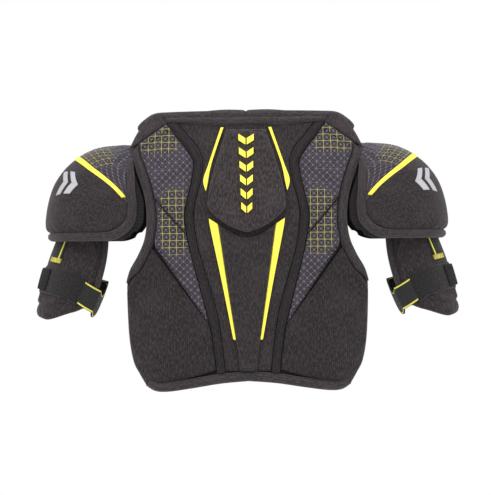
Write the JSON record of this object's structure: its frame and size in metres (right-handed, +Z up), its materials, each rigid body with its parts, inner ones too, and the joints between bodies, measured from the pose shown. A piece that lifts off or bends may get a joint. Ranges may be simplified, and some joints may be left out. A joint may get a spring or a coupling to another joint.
{
  "type": "hockey shoulder pads",
  "caption": "Padded ice hockey shoulder pads with spine pads, domed shoulder caps, hanging biceps guards, a hinged chest panel and elastic straps.",
  "frame": {"origin": "middle of the wearer's shoulder line at the foot of the neck, where the pads rest on the wearer", "axes": "+Z up; +Y the way the wearer faces, so the back panel faces -Y; +X towards the wearer's right arm"},
  "size_m": [0.4986, 0.2094, 0.3379],
  "materials": {
    "black_knit": "polyester knit laminated to foam",
    "grid_knit": "printed polyester knit over foam",
    "seam_tape": "cover-stitched knit tape",
    "binding": "folded stretch binding tape",
    "lining": "warp-knit mesh lining",
    "yellow_film": "heat-pressed polyurethane film",
    "shell_plastic": "moulded polyethylene",
    "elastic_webbing": "ribbed elastic webbing",
    "loop_pile": "brushed nylon loop",
    "hook_tape": "moulded nylon hook tape"
  },
  "bodies": {
    "back": {"back_liner": "lining", "centre_panel": "black_knit", "spine_plate": "shell_plastic", "upper_spine_pad": "black_knit", "lower_spine_pad": "black_knit", "hem_binding": "binding", "neck_binding": "binding", "seam_tape_left": "seam_tape", "seam_tape_right": "seam_tape", "blade_pad_left": "grid_knit", "blade_pad_right": "grid_knit", "grid_panel_left": "grid_knit", "grid_panel_right": "grid_knit", "kidney_pad_left": "black_knit", "kidney_pad_right": "black_knit", "upper_accent_strip_left": "yellow_film", "upper_accent_strip_right": "yellow_film", "lower_accent_strip_left": "yellow_film", "lower_accent_strip_right": "yellow_film", "armhole_binding_left": "binding", "armhole_binding_right": "binding", "shoulder_arch_left": "black_knit", "shoulder_arch_right": "black_knit", "collar_roll_left": "binding", "collar_roll_right": "binding"},
    "chest": {"chest_liner": "lining", "chest_edge_binding": "binding", "sternum_plate": "shell_plastic", "sternum_pad": "black_knit", "belly_pad": "black_knit", "chest_pad_left": "grid_knit", "chest_pad_right": "grid_knit", "flank_loop_patch_left": "loop_pile", "flank_loop_patch_right": "loop_pile"},
    "cap_left": {"cap_liner_left": "lining", "cap_shell_left": "shell_plastic", "cap_cover_left": "black_knit", "cap_binding_left": "binding", "cap_stripe_left": "yellow_film"},
    "biceps_left": {"biceps_guard_left": "black_knit", "biceps_binding_left": "binding", "biceps_loop_patch_left": "loop_pile", "biceps_strap_left": "elastic_webbing", "biceps_hanger_left": "elastic_webbing"},
    "biceps_tab_left": {"biceps_hook_tab_left": "hook_tape"},
    "side_strap_left": {"side_strap_left": "elastic_webbing", "side_strap_tab_left": "hook_tape"},
    "cap_right": {"cap_liner_right": "lining", "cap_shell_right": "shell_plastic", "cap_cover_right": "black_knit", "cap_binding_right": "binding", "cap_stripe_right": "yellow_film"},
    "biceps_right": {"biceps_guard_right": "black_knit", "biceps_binding_right": "binding", "biceps_loop_patch_right": "loop_pile", "biceps_strap_right": "elastic_webbing", "biceps_hanger_right": "elastic_webbing"},
    "biceps_tab_right": {"biceps_hook_tab_right": "hook_tape"},
    "side_strap_right": {"side_strap_right": "elastic_webbing", "side_strap_tab_right": "hook_tape"}
  },
  "joints": [
    {"name": "chest_open", "type": "hinge", "parent": "back", "child": "chest", "pos_m": [0, 0.042, -0.008], "axis": [1, 0, 0], "range_deg": [0, 45]},
    {"name": "cap_lift_left", "type": "hinge", "parent": "back", "child": "cap_left", "pos_m": [-0.1395, 0, -0.022], "axis": [0, 1, 0], "range_deg": [0, 55]},
    {"name": "biceps_swing_left", "type": "hinge", "parent": "cap_left", "child": "biceps_left", "pos_m": [-0.184, 0, -0.128], "axis": [1, 0, 0], "range_deg": [-20, 25]},
    {"name": "biceps_tab_peel_left", "type": "hinge", "parent": "biceps_left", "child": "biceps_tab_left", "pos_m": [-0.2356, 0.0192, -0.1685], "axis": [-0.2756, 0, -0.9613], "range_deg": [0, 85]},
    {"name": "side_strap_swing_left", "type": "hinge", "parent": "back", "child": "side_strap_left", "pos_m": [-0.1315, -0.0455, -0.265], "axis": [0, 0, 1], "range_deg": [0, 50]},
    {"name": "cap_lift_right", "type": "hinge", "parent": "back", "child": "cap_right", "pos_m": [0.1395, 0, -0.022], "axis": [0, -1, 0], "range_deg": [0, 55]},
    {"name": "biceps_swing_right", "type": "hinge", "parent": "cap_right", "child": "biceps_right", "pos_m": [0.184, 0, -0.128], "axis": [1, 0, 0], "range_deg": [-20, 25]},
    {"name": "biceps_tab_peel_right", "type": "hinge", "parent": "biceps_right", "child": "biceps_tab_right", "pos_m": [0.2356, 0.0192, -0.1685], "axis": [-0.2756, 0, 0.9613], "range_deg": [0, 85]},
    {"name": "side_strap_swing_right", "type": "hinge", "parent": "back", "child": "side_strap_right", "pos_m": [0.1315, -0.0455, -0.265], "axis": [0, 0, -1], "range_deg": [0, 50]}
  ]
}
